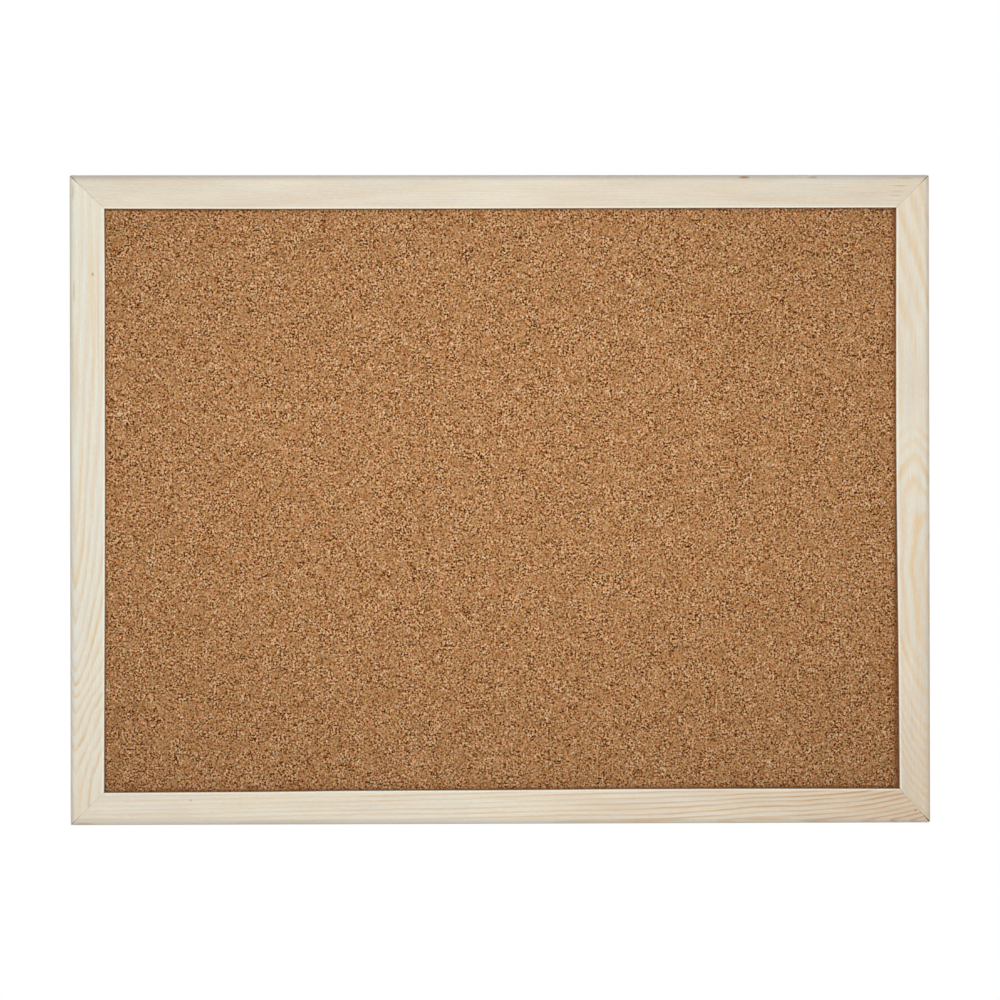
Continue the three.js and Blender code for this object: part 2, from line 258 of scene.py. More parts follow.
def pine_length(name, corner, run, inward, length, sight, beside, tips, heart, crown, arched, lean, steep,
                pitch, slopes, phase, figure, blush, soft, outer_shade, key, bow=((0, 0), (1, 0))):
    """One mitred length of moulding, with its growth lines kept as attributes of the points.

    A point lies s along from the first outer corner, q in from the outer edge and d behind the face. The
    mitres cut s off at q times the width of the moulding beside over its own width, so unequal widths
    still meet at one inner corner, and each end is set back by its tip's gap where the joint stands open.
    Growth counts the yearly lines: a distance across the face, plus lean times d, plus steep times d below
    the rounded edge, over the pitch, less the sum of slope over pitch along s, so that the lines wander
    across the face at the given slopes. Where arched is 1 the distance is taken from the heart line, either
    way, and the lines turn back there in arches with the crown's radius; where it is 0 it is q from the
    middle, plus bow times its square. Edges is above 0 along the sight edge, where a highlight is painted,
    and below 0 where shade is painted: by the outer edge, scaled by outer_shade, and on the lip's wall,
    darker deeper in; it is also below 0 along the joints, where dirt lies.
    """
    section = moulding_section()
    share = stations_along(length, STATION_PITCH)
    q = np.broadcast_to(section[:, 0], (len(share), len(section))).copy()
    v = np.broadcast_to(section[:, 1], q.shape).copy()
    width = table(share, sight)[:, None]
    q += (width - FACE_WIDTH) * np.clip((q - 8) / (FACE_WIDTH - 8), 0, 1)
    open_tip = np.exp(-((q / 3.0) ** 2)) * np.clip((v - 9) / 6, 0, 1) ** 0.5
    first = q * beside[0] / width[0, 0] + JOINT_GAP + tips[0] * open_tip
    last = length - q * beside[1] / width[-1, 0] - JOINT_GAP - tips[1] * open_tip
    s = first + (last - first) * share[:, None]
    to_end = np.minimum(s - first, last - s)
    forward = np.clip((v - LIP_BACK) / (FRAME_DEPTH - LIP_BACK), 0, 1)
    v -= JOINT_EASE * forward * np.exp(-((to_end / 0.25) ** 2))
    v += FACE_WAVE * forward * np.sin(0.045 * s + key) * np.sin(0.021 * s + 2 * key + 0.2 * q)
    d = FRAME_DEPTH - v
    fine = np.linspace(0, length, 4 * length + 1)
    passed = np.cumsum(table(fine, slopes) / table(fine, pitch)) * (fine[1] - fine[0])
    bend = table(s, arched)
    off_middle = q - FACE_MIDDLE
    bowed = off_middle + table(s, bow) * off_middle**2
    across = (1 - bend) * bowed + bend * (np.hypot(q - heart, crown) - ARCH_MIDDLE)
    rise = lean * d + steep * np.clip(d - OUTER_ROUND, 0, FRAME_DEPTH)
    growth = (across + rise) / table(s, pitch) - np.interp(s, fine, passed) + phase
    # Painted highlight: sight_edge lightens the rounded sight edge.
    sight_edge = np.clip(1.7 - np.hypot(q - width, v - FRAME_DEPTH) / 0.55, 0, 1)
    # Painted shade on the rounded outer edge, which turns away from the lamp; outer_shade sets how much for
    # each length.
    outer_edge = outer_shade * np.clip((3.4 - q) / 1.5, 0, 1) * np.clip((v - 8) / 5, 0, 1)
    # Painted shade on the lip's wall, darker deeper in; the joints get dirt.
    below_edge = FRAME_DEPTH - 0.6 - v
    lip_wall = np.clip((q - width + 0.3) / 0.25, 0, 1) * np.clip(below_edge / 0.5, 0, 1)
    lip_wall_shade = lip_wall * (1 + 1.25 * np.clip(below_edge / 2.4, 0, 1))
    joint = forward * np.exp(-((to_end / 0.35) ** 2))
    shade_and_joint_dirt = np.maximum.reduce([outer_edge, lip_wall_shade, 0.38 * joint])
    edges = sight_edge * (1 - lip_wall) * (1 - joint) - shade_and_joint_dirt

    def place(s, q, v):
        flat = np.multiply.outer(s, run) + np.multiply.outer(q, inward) + np.array(corner)
        return np.stack([flat[..., 0], -v, flat[..., 1]], -1).reshape(-1, 3)

    cap_in, cap_forward = np.full(2, 5.0), np.full(2, 13.0)
    cut = cap_in * beside / width[[0, -1], 0] + 2 * JOINT_GAP
    caps = place(np.array([cut[0], length - cut[1]]), cap_in, cap_forward)
    points = np.concatenate([place(s, q, v), caps])

    def mark(values):
        return np.concatenate([values.ravel(), values.ravel()[[0, -1]]])

    grain = np.stack([mark(s + KEY_STEP * key), mark(q), mark(d)], 1)
    return make_piece(
        name, points, skin_faces(*q.shape), pine, "board", name, "pine", grain=grain, growth=mark(growth),
        figure=mark(table(s, figure)), blush=mark(table(s, blush)), soft=mark(table(s, soft)),
        edges=mark(edges))


def pine_finish():
    """Pine in the colours of early and late wood.

    Growth plus a slow wobble gives the place within a year's growth: the colour warms slowly towards the
    late wood and breaks off where the next year starts, sharply or softly, each year more or less strongly.
    Over it lie fine fibres, short resin lines, warmer patches, knots and dirt along the joints, with a
    painted highlight along the sight edge and painted shade by the outer edge and on the lip's wall.
    """
    material, tree, surface = new_finish("pine")
    grain = tree.node("Attribute", {"attribute_name": "grain"}, out="Vector")
    growth = tree.node("Attribute", {"attribute_name": "growth"}, out="Fac")
    figure = tree.node("Attribute", {"attribute_name": "figure"}, out="Fac")
    blush = tree.node("Attribute", {"attribute_name": "blush"}, out="Fac")
    soft = tree.node("Attribute", {"attribute_name": "soft"}, out="Fac")
    edges = tree.node("Attribute", {"attribute_name": "edges"}, out="Fac")
    wobble = grain.stretch(0.014, 0.13, 0.13).noise(1, 2) - 0.5
    ripple = grain.stretch(0.09, 0.5, 0.5).noise(1, 2) - 0.5
    years = growth + wobble * 0.9 + ripple * 0.25
    within = years.math("FRACT", years)
    year = years.math("FLOOR", years)
    strength = year.node("TexWhiteNoise", {"noise_dimensions": "1D"}, {"W": year}) * 0.5 + 0.6
    sharp_line = within.step(0.42, 0.84) * (1 - within.step(0.87, 0.99))
    soft_line = within.step(0.14, 0.6) * (1 - within.step(0.64, 0.97))
    faint = grain.stretch(0.03, 0.25, 0.25).noise(1, 2).step(0.3, 0.68) * 0.6 + 0.5
    late = (sharp_line * (1 - soft) + soft_line * soft) * strength * figure * faint
    fibre = grain.stretch(0.045, 2.1, 2.1).noise(1, 3, 0.65) - 0.5
    thread = grain.stretch(0.4, 2.4, 2.4).noise(1, 2, 0.6) - 0.5
    cast = grain.stretch(0.016, 0.5, 0.5).noise(1, 3, 0.6) - 0.5
    pores = grain.stretch(0.16, 5, 5).noise(1, 1).step(0.66, 0.76)
    patch = grain.stretch(0.018, 0.14, 0.14).noise(1, 3) - 0.5
    depth = grain.node("SeparateXYZ", {}, {"Vector": grain}, "Z")
    fresh = (1 - depth.step(5, 12)) * (0 - blush)
    cool = (fresh * 8).mix((0.79, 0.725, 0.6, 1), (0.79, 0.761, 0.652, 1))
    warm = soft.mix((0.66, 0.53, 0.385, 1), (0.625, 0.535, 0.43, 1))
    early_wood = (patch * 1.2 + blush).mix(cool, warm)
    sharp_wood = (blush * 1.6).mix((0.72, 0.515, 0.3, 1), (0.57, 0.335, 0.165, 1))
    late_wood = soft.mix(sharp_wood, (0.77, 0.545, 0.31, 1))
    lined = late.mix(early_wood, late_wood)
    threaded = (pores * 0.14).mix(lined, (0.5, 0.36, 0.22, 1))
    fibred = (fibre * 1.3 + thread * 1.0 + 0.5).mix((0.91, 0.87, 0.82, 1), (1.09, 1.13, 1.18, 1))
    hued = (cast * 1.9 + 0.5).mix((0.945, 1.0, 1.075, 1), (1.045, 1.0, 0.92, 1))
    wood = threaded.tint(fibred).tint(hued)
    # Painted highlight along the sight edge.
    sight_highlit = (edges.above(0) * 0.7).mix(wood, (0.97, 0.93, 0.79, 1))
    # Painted shade greys the outer edge and the lip's wall, dirt greys the joints, and deeper painted shade
    # darkens the lip's wall.
    greyed_by_shade_and_joint_dirt = ((0 - edges).above(0) * 0.45).mix(sight_highlit, (0.47, 0.445, 0.42, 1))
    lip_shaded_wood = ((0 - edges).above(1) * 0.8).mix(greyed_by_shade_and_joint_dirt, (0.22, 0.135, 0.075, 1))
    knots = (
        (LEFT_KEY, (52, 10.7, 0), (34, 1.3, 2), (0.79, 0.66, 0.43)),
        (LEFT_KEY, (46.3, 11.0, 0), (1.1, 0.8, 3), (0.5, 0.35, 0.15)),
        (LEFT_KEY, (62, 13.6, 0), (44, 0.8, 2), (0.78, 0.61, 0.43)),
        (LEFT_KEY, (54, 2.4, 0), (8, 0.8, 2), (0.68, 0.55, 0.38)),
        (LEFT_KEY, (8.2, 2.0, 0), (5, 0.8, 2), (0.7, 0.56, 0.38)),
        (TOP_KEY, (313.6, 1.4, 0.4), (3.4, 0.9, 1.4), (0.4, 0.19, 0.065)),
        (TOP_KEY, (345.7, 1.4, 0.4), (2.6, 0.7, 1.2), (0.54, 0.35, 0.19)),
        (BOTTOM_KEY, (56, 11.8, 0), (0.9, 0.45, 3), (0.42, 0.35, 0.26)),
        (BOTTOM_KEY, (392.7, 6.0, 0), (0.7, 0.5, 3), (0.2, 0.12, 0.07)),
        (BOTTOM_KEY, (6.5, 0.8, 0.7), (6, 1.1, 3), (0.6, 0.45, 0.31)),
        (BOTTOM_KEY, (269, 1.9, 0.3), (20, 1.2, 2.5), (0.66, 0.47, 0.3)),
        (BOTTOM_KEY, (322, 2.3, 0.2), (17, 1.2, 2.5), (0.66, 0.46, 0.28)),
        (TOP_KEY, (389, 1.9, 0), (4, 0.4, 2), (0.52, 0.44, 0.3)),
        (TOP_KEY, (386, 5.5, 0), (5, 0.5, 2), (0.55, 0.47, 0.31)),
        (TOP_KEY, (385, 8.1, 0), (4, 0.6, 2), (0.62, 0.55, 0.36)),
        (TOP_KEY, (384, 9.9, 0), (4, 0.4, 2), (0.55, 0.47, 0.31)),
    )
    for key, (along, inward, below), radii, colour in knots:
        centre = (along + KEY_STEP * key, inward, below)
        away = grain.node("VectorMath", {"operation": "SUBTRACT"}, {0: grain, 1: centre})
        reach = away.stretch(*(1 / radius for radius in radii))
        length = reach.node("VectorMath", {"operation": "LENGTH"}, {0: reach}, "Value")
        lip_shaded_wood = ((1 - length.step(0.35, 1.0)) * 0.85).mix(lip_shaded_wood, (*colour, 1))
    height = late * 0.5 + fibre * 0.5 + thread * 0.4 - pores * 0.3
    bump = height.node("Bump", {}, {"Strength": 0.4, "Distance": 0.00008, "Height": height})
    rough = 0.58 + fibre * 0.2 - late * 0.08
    feed(tree, surface, Base_Color=lip_shaded_wood, Roughness=rough, Normal=bump, Specular_IOR_Level=0.3)
    return material


pine = pine_finish()
half_width, half_height = BOARD_WIDTH / 2, BOARD_HEIGHT / 2
pine_length(
    "top_rail", (-half_width, half_height), (1, 0), (0, -1), BOARD_WIDTH,
    sight=((0, 15.77), (0.2, 15.92), (0.45, 15.82), (0.75, 15.57), (1, 15.47)), beside=(16.32, 15.55),
    tips=(0.3, 0.32), heart=0, crown=1, arched=((0, 0), (1, 0)), lean=0.8, steep=0,
    pitch=((0, 1.5), (150, 1.3), (400, 1.2)),
    slopes=((0, 0.15), (70, 0.21), (110, 0.13), (150, 0.03), (200, 0), (400, 0.01)), phase=17,
    figure=((0, 0.22), (100, 0.2), (160, 0.26), (250, 0.24), (330, 0.16), (370, 0.2), (400, 0.4)),
    blush=((0, 0.32), (200, 0.28), (400, 0.4)), soft=((0, 0.3), (400, 0.2)), outer_shade=0.9, key=TOP_KEY)
pine_length(
    "bottom_rail", (-half_width, -half_height), (1, 0), (0, 1), BOARD_WIDTH,
    sight=((0, 15.2), (0.2, 15.42), (0.3, 15.75), (0.5, 15.88), (0.65, 16.18), (0.8, 16.2), (1, 16)),
    beside=(15.75, 14.48), tips=(0.14, 0.4), heart=0, crown=1, arched=((0, 0), (1, 0)), lean=1.5, steep=0,
    pitch=((0, 2.1), (150, 2.2), (215, 2.4), (280, 2.4), (330, 2.2), (400, 2.2)),
    slopes=((0, 0.012), (184, 0.02), (264, 0.026), (296, 0.05), (310, 0.085), (321, 0.03), (334, 0.02),
            (345, 0.08), (360, 0.06), (372, 0.16), (385, 0.22), (400, 0.28)), phase=34.02,
    figure=((0, 0.46), (100, 0.56), (190, 0.84), (250, 1.0), (300, 1.1), (335, 1.2), (400, 1.3)),
    blush=((0, 0.14), (200, 0.1), (280, 0.34), (330, 0.5), (350, 0.78), (400, 1.0)),
    soft=((0, 0.1), (400, 0)), outer_shade=0.75, key=BOTTOM_KEY)
pine_length(
    "left_stile", (-half_width, half_height), (0, -1), (1, 0), BOARD_HEIGHT,
    sight=((0, 16.32), (0.12, 16.5), (0.5, 16.42), (0.65, 16.3), (0.75, 16.12), (1, 15.75)),
    beside=(15.77, 15.2), tips=(0.3, 0.14), heart=2.6, crown=0.7, arched=((0, 1), (1, 1)), lean=0.8,
    steep=2,
    pitch=((0, 3.8), (100, 3.7), (160, 3.4), (230, 3.5), (302, 4.2)),
    slopes=((0, -0.01), (60, -0.03), (110, -0.05), (151, -0.09), (180, -0.11), (188, -0.2), (206, -0.22),
            (218, -0.25), (221, -0.34), (229, -0.36), (231, -0.49), (237, -0.5), (238, -0.63), (242, -0.63),
            (244, -0.5), (250, -0.48), (252, -0.34), (260, -0.36), (262, -0.53), (268, -0.5), (270, -0.42),
            (276, -0.34), (284, -0.16), (294, -0.04), (302, -0.03)), phase=52.99,
    figure=((0, 0.3), (60, 0.48), (90, 0.64), (120, 0.72), (160, 0.8), (200, 0.85), (260, 0.95),
            (302, 0.7)),
    blush=((0, -0.09), (60, -0.115), (150, -0.12), (230, -0.07), (302, 0.03)),
    soft=((0, 0.9), (150, 0.6), (200, 0.2), (302, 0.15)), outer_shade=0.08, key=LEFT_KEY)
pine_length(
    "right_stile", (half_width, half_height), (0, -1), (-1, 0), BOARD_HEIGHT,
    sight=((0, 15.55), (0.2, 15.72), (0.4, 15.78), (0.5, 15.62), (0.65, 15.25), (0.8, 14.85), (1, 14.48)),
    beside=(15.47, 16), tips=(0.32, 0.4), heart=8, crown=3,
    arched=((0, 0), (84, 0), (116, 1), (145, 1), (172, 0), (302, 0)), lean=-0.5, steep=-2.4,
    pitch=((0, 6), (70, 6.3), (112, 4.6), (146, 4.6), (154, 5.5), (210, 5.2), (240, 4), (302, 3.2)),
    slopes=((0, -0.3), (66, -0.3), (80, -0.09), (112, -0.09), (117, 0.62), (130, 0.62), (134, 0.37),
            (147, 0.37), (150, 0.24), (160, 0.24), (164, 0.12), (182, 0.14), (185, -0.15), (195, -0.14),
            (198, -0.03), (206, -0.05), (214, -0.1), (217, -0.28), (226, -0.43), (262, -0.6), (290, -0.8),
            (302, -0.9)), phase=68.95,
    figure=((0, 0.85), (60, 0.78), (78, 0.4), (110, 0.25), (117, 0.15), (122, 0.65), (134, 0.6), (140, 1),
            (146, 0.95), (152, 0.55), (164, 0.98), (205, 0.95), (230, 0.75), (302, 0.86)),
    blush=((0, 0.15), (150, 0.2), (200, 0.3), (260, 0.52), (302, 0.75)),
    soft=((0, 0.6), (75, 0.75), (110, 1), (215, 1), (302, 0.65)), outer_shade=0.25, key=RIGHT_KEY,
    bow=((0, -0.04), (66, -0.03), (84, 0), (200, 0), (222, 0.048), (302, 0.048)))

# The cork sheet: 2 mm of pressed cork, granules about a millimetre across bound with a little resin and
# sanded flat. It is glued to the core, lies under the lip all round and is the face that pins go into.
CORK_STEP = 1.1
GRANULE_PITCH = 2.6
GRANULE_SEED = 5
LATTICE = 512
BAND_HALF_WIDTH = 0.1841
BAND_HALF_HEIGHT = 0.2163
BAND_SQUEEZE = 1.6


def lattice_cells(x, z, pitch, seed):
    """The nearest and second nearest of points scattered one to a square of a lattice.

    Gives both distances in units of the pitch and a fixed random number of the nearest point.
    """
    scatter = np.random.default_rng(seed).random((3, LATTICE, LATTICE))
    column, row = np.floor(x / pitch).astype(int), np.floor(z / pitch).astype(int)
    near = np.full(x.shape, 9.0)
    next_near = np.full(x.shape, 9.0)
    chance = np.zeros(x.shape)
    for across in (-1, 0, 1):
        for up in (-1, 0, 1):
            i, j = (column + across) % LATTICE, (row + up) % LATTICE
            away_x = column + across + scatter[0, i, j] - x / pitch
            away_z = row + up + scatter[1, i, j] - z / pitch
            away = np.hypot(away_x, away_z)
            closer = away < near
            next_near = np.where(closer, near, np.minimum(next_near, away))
            chance = np.where(closer, scatter[2, i, j], chance)
            near = np.where(closer, away, near)
    return near, next_near, chance


def sheet_piece(name, pitch, relief, faces_front, material, slot):
    """A closed sheet the size of its CAD node, with a grid over one face that sinks by relief(x, z) mm.

    The grid's border is carried straight through to the other face, which is a fan to its middle.
    """
    low, high = (np.array(corner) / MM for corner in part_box(name))
    columns, rows = (round((high[k] - low[k]) / pitch) + 1 for k in (0, 2))
    along, upward = np.linspace(low[0], high[0], columns), np.linspace(low[2], high[2], rows)
    x, z = np.meshgrid(along, upward, indexing="ij")
    sunk = relief(x, z)
    y = low[1] + sunk if faces_front else high[1] - sunk
    index = np.arange(columns * rows).reshape(columns, rows)
    quads = np.stack([index[:-1, :-1], index[1:, :-1], index[1:, 1:], index[:-1, 1:]], -1).reshape(-1, 4)
    border = np.concatenate([index[:-1, 0], index[-1, :-1], index[:0:-1, -1], index[0, :0:-1]])
    face = np.stack([x, y, z], -1).reshape(-1, 3)
    far = face[border]
    far[:, 1] = high[1] if faces_front else low[1]
    middle = far.mean(0, keepdims=True)
    far_index = columns * rows + np.arange(len(border))
    after, far_after = np.roll(border, -1), np.roll(far_index, -1)
    sides = np.stack([after, border, far_index, far_after], 1)
    fan = np.stack([far_after, far_index, np.full(len(border), columns * rows + len(border))], 1)
    points = np.concatenate([face, far, middle])
    return make_piece(name, points, [quads, sides, fan], material, "board", name, slot)


def cork_relief(x, z):
    """Granules of uneven height with narrow clefts between them, sunk 0.02 to 0.23 mm."""
    near, next_near, chance = lattice_cells(x, z, GRANULE_PITCH, GRANULE_SEED)
    cleft = np.exp(-(((next_near - near) / 0.16) ** 2))
    return 0.02 + 0.11 * chance + 0.1 * cleft


def cork_finish():
    """Pressed cork: cells of two sizes take a tone each, from dark bark through tan to cream.

    Fine grit varies the tone, in some patches more than in others. Dark specks of bark and pale chips are
    scattered over it, red and blue drift apart from each other over a millimetre or two, the sheet darkens
    slowly away from a point a little left of and above its middle, and a narrow band of painted shade lies
    by the lip, wider at the right and bottom.
    """
    material, tree, surface = new_finish("cork")
    place = tree.node("TexCoord", out="Object")
    shift = place.noise(1100, 1).other("Color")
    bending = {0: shift, 1: (0.0007, 0.0007, 0.0007), 2: place}
    bent = place.node("VectorMath", {"operation": "MULTIPLY_ADD"}, bending)
    large = bent.node("TexVoronoi", {}, {"Vector": bent, "Scale": 900.0}, "Color")
    small = bent.node("TexVoronoi", {}, {"Vector": bent, "Scale": 1900.0}, "Color")
    large_parts = large.node("SeparateColor", {}, {"Color": large})
    small_parts = small.node("SeparateColor", {}, {"Color": small})
    swirl = place.noise(920, 0) - 0.5
    lively = place.noise(170, 1) * 2.4 - 0.2
    grit = (place.noise(1280, 0) - 0.5) * lively
    cloud = place.noise(210, 2) - 0.5
    celled = 0.517 + (large_parts - 0.5) * 0.07 + (small_parts - 0.5) * 0.22
    tone = celled + swirl * 0.48 + grit * 1.45 + cloud * 0.1
    stops = ((0, (0.035, 0.007, 0.0005)), (0.25, (0.2, 0.063, 0.0115)), (0.5, (0.44, 0.21, 0.079)),
             (0.78, (0.65, 0.37, 0.18)), (1, (0.84, 0.57, 0.34)))
    toned = tone.node("ValToRGB", {"stops": stops}, {"Fac": tone})
    hue = place.noise(480, 0).other("Color")
    warm = hue.node("SeparateColor", {}, {"Color": hue})
    drift = {"Red": 0.79 + warm * 0.42, "Green": 1.0, "Blue": 0.62 + warm.other("Blue") * 0.76}
    cast = warm.node("CombineColor", {}, drift)
    hued = toned.tint(cast)
    bark = place.node("TexVoronoi", {}, {"Vector": place, "Scale": 480.0}, "Distance")
    chance = bark.node("SeparateColor", {}, {"Color": bark.other("Color")})
    core = 1 - bark.step(0.17, 0.27)
    speck = core * chance.step(0.52, 0.6)
    chip = core * (1 - chance.step(0.1, 0.16))
    specked = (speck * 0.95).mix((chip * 0.85).mix(hued, (0.84, 0.64, 0.44, 1)), (0.06, 0.006, 0.0004, 1))
    parts = place.node("SeparateXYZ", {}, {"Vector": place})
    upright = parts.other("Z")
    # The sheet darkens slowly away from a point a little left of and above its middle.
    off_side, off_height = parts + 0.018, upright - 0.035
    off_middle_reach = off_side * off_side * 2.4 + off_height * off_height * 6.0
    darkened_off_middle = off_middle_reach.mix(specked, (0.03, 0.008, 0.001, 1))
    # Painted shade: a narrow darker band on the cork by the lip, wider at the right and bottom.
    sideways = parts + 0.0002
    beside = BAND_HALF_WIDTH - sideways.math("ABSOLUTE", sideways)
    upwards = upright - parts * 0.003 - 0.0004
    above = BAND_HALF_HEIGHT - upwards.math("ABSOLUTE", upwards) * BAND_SQUEEZE
    inside = beside.math("SMOOTH_MIN", beside, above, 0.001)
    shade = 1 - inside.step(-0.0006, 0.0014)
    edged = (shade * 0.66).mix(darkened_off_middle, (0.17, 0.044, 0.008, 1))
    height = tone - speck * 0.5
    bump = height.node("Bump", {}, {"Strength": 0.4, "Distance": 0.0002, "Height": height})
    rough = 0.82 - tone * 0.12
    feed(tree, surface, Base_Color=edged, Roughness=rough, Normal=bump, Specular_IOR_Level=0.06)
    return material


sheet_piece("cork_sheet", CORK_STEP, cork_relief, True, cork_finish(), "cork")

# The softboard core: a 4 mm layer of pressed wood fibre behind the cork that grips the pins. It is cut to
# the rebate, so only its sawn edge can show in the narrow gap beside the panel.
CORE_STEP = 4.0
HOLLOW_PITCH = 24
HOLLOW_SEED = 11


def core_relief(x, z):
    """Slight hollows left by the press, sunk up to 0.06 mm."""
    near, _, chance = lattice_cells(x, z, HOLLOW_PITCH, HOLLOW_SEED)
    return 0.03 + 0.03 * np.clip(chance - near, -0.5, 1)


def core_finish():
    """Straw-coloured fibres lying all ways: two stretched noises and paler wisps."""
    material, tree, surface = new_finish("softboard")
    place = tree.node("TexCoord", out="Object")
    across = place.stretch(300, 900, 2600).noise(1, 3)
    upright = place.stretch(2600, 900, 300).noise(1, 3)
    tangle = across * 0.5 + upright * 0.5
    stops = ((0.3, (0.2, 0.13, 0.075)), (0.7, (0.52, 0.4, 0.27)))
    colour = tangle.node("ValToRGB", {"stops": stops}, {"Fac": tangle})
    bump = tangle.node("Bump", {}, {"Strength": 0.6, "Distance": 0.0002, "Height": tangle})
    rough = 0.95 - tangle * 0.1
    feed(tree, surface, Base_Color=colour, Roughness=rough, Normal=bump, Specular_IOR_Level=0.1)
    return material


sheet_piece("softboard_core", CORE_STEP, core_relief, True, core_finish(), "softboard")

# The hardboard back: 2.5 mm of brown pressed fibreboard laid smooth side out, which stiffens the panel and
# closes it behind. It is sawn to the rebate and held in by the flat steel points.
HARDBOARD_STEP = 3.0
HARDBOARD_BOW = 0.15


def hardboard_relief(x, z):
    """A faint bow: the middle stands 0.15 mm further back than the corners, with slow ripples."""
    bow = HARDBOARD_BOW * ((x / 190) ** 2 + (z / 140) ** 2) / 2
    return 0.02 + bow + 0.012 * (1 + np.sin(x / 17 + 2) * np.sin(z / 23))


def hardboard_finish():
    """Tempered brown fibre: cloudy patches, short pale and dark fibres, a few scuffs, a low sheen."""
    material, tree, surface = new_finish("hardboard")
    place = tree.node("TexCoord", out="Object")
    cloud = place.noise(22, 3, 0.55) - 0.5
    mottle = place.noise(560, 3, 0.7) - 0.5
    across = place.stretch(260, 700, 2400).noise(1, 2).step(0.58, 0.72)
    upright = place.stretch(2400, 700, 260).noise(1, 2).step(0.58, 0.72)
    slant = place.node("Mapping", {}, {"Vector": place, "Rotation": (0, 0.8, 0), "Scale": (260, 700, 2400)})
    wisps = slant.noise(1, 2).step(0.58, 0.72)
    dark = place.noise(900, 1).step(0.66, 0.74)
    scuff = place.node("Mapping", {}, {"Vector": place, "Rotation": (0, 0.35, 0), "Scale": (9, 60, 420)})
    rubbed = scuff.noise(1, 2).step(0.68, 0.8) * 0.6
    tone = 0.5 + cloud * 0.24 + mottle * 0.75
    stops = ((0.32, (0.115, 0.054, 0.026)), (0.5, (0.19, 0.098, 0.05)), (0.68, (0.27, 0.15, 0.08)))
    brown = tone.node("ValToRGB", {"stops": stops}, {"Fac": tone})
    fibres = (across + upright + wisps) * 0.3
    pale = fibres.mix(brown, (0.36, 0.225, 0.13, 1))
    flecked = (dark * 0.45).mix(pale, (0.06, 0.03, 0.016, 1))
    scuffed = (rubbed * 0.5).mix(flecked, (0.33, 0.21, 0.13, 1))
    height = mottle * 0.5 + fibres
    bump = height.node("Bump", {}, {"Strength": 0.25, "Distance": 0.0001, "Height": height})
    rough = 0.42 + mottle * 0.2 + rubbed * 0.3
    feed(tree, surface, Base_Color=scuffed, Roughness=rough, Normal=bump, Specular_IOR_Level=0.4)
    return material


sheet_piece("hardboard_back", HARDBOARD_STEP, hardboard_relief, False, hardboard_finish(), "hardboard")

# The retaining points: ten flat tongues of spring steel, pressed into the rebate's wall just behind the
# hardboard, that hold the panel in the frame. The end in the wood is pointed, the tail is rounded.
POINT_WIDTH = 6
POINT_THICKNESS = 0.5
POINT_EMBED = 6
POINT_REACH = 8
POINT_TAIL_ROUND = 1.2
POINT_END_MARGIN = 62
POINT_BACK = -1.6
POINT_SPRING = 0.06
POINT_EASE = 0.12


def strip_rings(path, broad, half_width, thickness, ease):
    """Rings of a flat strip: a rectangle with eased corners carried along a path.

    At each point of the path the rectangle's width lies along broad and its thickness along the cross
    product of the path's direction and broad. Every corner is a quarter circle of radius ease.
    """
    heading = np.gradient(path, axis=0)
    heading /= np.linalg.norm(heading, axis=1, keepdims=True)
    thick = np.cross(heading, broad)
    thick /= np.linalg.norm(thick, axis=1, keepdims=True)
    turn = np.radians(np.concatenate([np.linspace(k, k + 90, 5) for k in (0, 90, 180, 270)]))
    side_b = np.repeat([1, -1, -1, 1], 5)
    side_t = np.repeat([1, 1, -1, -1], 5)
    half = np.maximum(np.broadcast_to(half_width, len(path)), ease)[:, None]
    b = side_b * (half - ease) + ease * np.cos(turn)
    t = side_t * (thickness / 2 - ease) + ease * np.sin(turn)
    return path[:, None, :] + b[..., None] * broad + t[..., None] * thick[:, None, :]


def closed_tube(rings):
    """Points and faces of rings closed at both ends by a fan to the middle of the end ring."""
    points = np.concatenate([rings.reshape(-1, 3), rings[[0, -1]].mean(1)])
    return points, skin_faces(*rings.shape[:2])


def steel_finish(name, base, streak, long, rough):
    """Bare metal: fine rolling streaks along the strip, dull blotches and bright scratches."""
    material, tree, surface = new_finish(name)
    place = tree.node("TexCoord", out="Object")
    streaks = place.stretch(*long).noise(1, 3, 0.6)
    blotch = place.noise(260, 3, 0.6)
    slant = {"Vector": place, "Rotation": (0.5, 0.6, 0.9), "Scale": (300, 5200, 5200)}
    scratch = place.node("Mapping", {}, slant)
    scored = scratch.noise(1, 2).step(0.68, 0.74)
    dull = blotch.step(0.35, 0.7)
    coloured = (streaks * 0.7 + dull * 0.3).mix(base, streak)
    marked = (scored * 0.35).mix(coloured, (0.82, 0.83, 0.84, 1))
    roughness = rough + streaks * 0.16 + dull * 0.12 - scored * 0.1
    height = streaks + scored
    bump = height.node("Bump", {}, {"Strength": 0.15, "Distance": 0.00003, "Height": height})
    feed(tree, surface, Base_Color=marked, Roughness=roughness, Metallic=1.0, Normal=bump)
    return material


